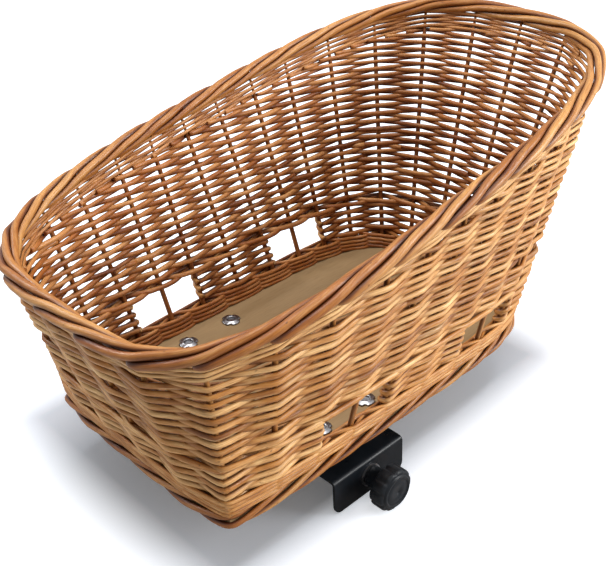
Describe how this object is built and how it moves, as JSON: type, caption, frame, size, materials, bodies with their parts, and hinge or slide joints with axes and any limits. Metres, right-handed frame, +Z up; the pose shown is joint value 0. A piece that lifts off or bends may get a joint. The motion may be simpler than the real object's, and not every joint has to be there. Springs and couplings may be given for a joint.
{
  "type": "bicycle basket",
  "caption": "Wicker carrier basket for a bicycle, with a sloping rolled rim, low side windows, a plywood base board and screw clamps for a carrier's rails.",
  "frame": {"origin": "under the middle of the basket, level with the lowest points of the clamp knobs", "axes": "+X along the length of the basket towards the high end of its rim, +Y across it to its left side, +Z up"},
  "size_m": [0.615, 0.371, 0.3614],
  "materials": {
    "willow": "satin stained willow rods",
    "dark_willow": "satin, darker stained willow rods",
    "plywood": "matte plywood",
    "black_steel": "satin black",
    "zinc": "zinc plated",
    "black_plastic": "satin moulded plastic"
  },
  "bodies": {
    "basket": {"rim_border": "willow", "woven_wall": "willow", "window_wale": "dark_willow", "base_wale": "dark_willow", "foot_border": "willow", "window_band_low_end": "willow", "window_band_high_end": "willow", "window_band_left": "willow", "window_band_right": "willow", "bare_stake_left_low": "willow", "bare_stake_left_high": "willow", "bare_stake_right_low": "willow", "bare_stake_right_high": "willow", "base_board": "plywood", "tee_nut_left_low": "zinc", "tee_nut_left_high": "zinc", "tee_nut_right_low": "zinc", "tee_nut_right_high": "zinc", "bracket_bolt_left_low": "zinc", "bracket_bolt_left_high": "zinc", "bracket_bolt_right_low": "zinc", "bracket_bolt_right_high": "zinc", "spacer_left_low": "black_steel", "spacer_left_high": "black_steel", "spacer_right_low": "black_steel", "spacer_right_high": "black_steel", "clamp_bracket_left": "black_steel", "clamp_bracket_right": "black_steel"},
    "knob_left": {"clamp_knob_left": "black_plastic", "clamp_screw_left": "zinc", "clamp_washer_left": "zinc", "screw_retainer_left": "zinc"},
    "knob_right": {"clamp_knob_right": "black_plastic", "clamp_screw_right": "zinc", "clamp_washer_right": "zinc", "screw_retainer_right": "zinc"},
    "jaw_left": {"clamp_jaw_left": "black_steel"},
    "jaw_right": {"clamp_jaw_right": "black_steel"}
  },
  "joints": [
    {"name": "knob_turn_left", "type": "hinge", "parent": "basket", "child": "knob_left", "pos_m": [-0.082, 0.1345, 0.0217], "axis": [0, -1, 0], "range_deg": [0, 5760]},
    {"name": "knob_turn_right", "type": "hinge", "parent": "basket", "child": "knob_right", "pos_m": [-0.082, -0.1345, 0.0217], "axis": [0, 1, 0], "range_deg": [0, 5760]},
    {"name": "jaw_slide_left", "type": "slide", "parent": "basket", "child": "jaw_left", "axis": [0, 1, 0], "range_m": [0, 0.02]},
    {"name": "jaw_slide_right", "type": "slide", "parent": "basket", "child": "jaw_right", "axis": [0, -1, 0], "range_m": [0, 0.02]}
  ],
  "couplings": [
    {"joint": "knob_turn_left", "follows": "jaw_slide_left", "rad_per_m": 5026.5},
    {"joint": "knob_turn_right", "follows": "jaw_slide_right", "rad_per_m": 5026.5}
  ]
}
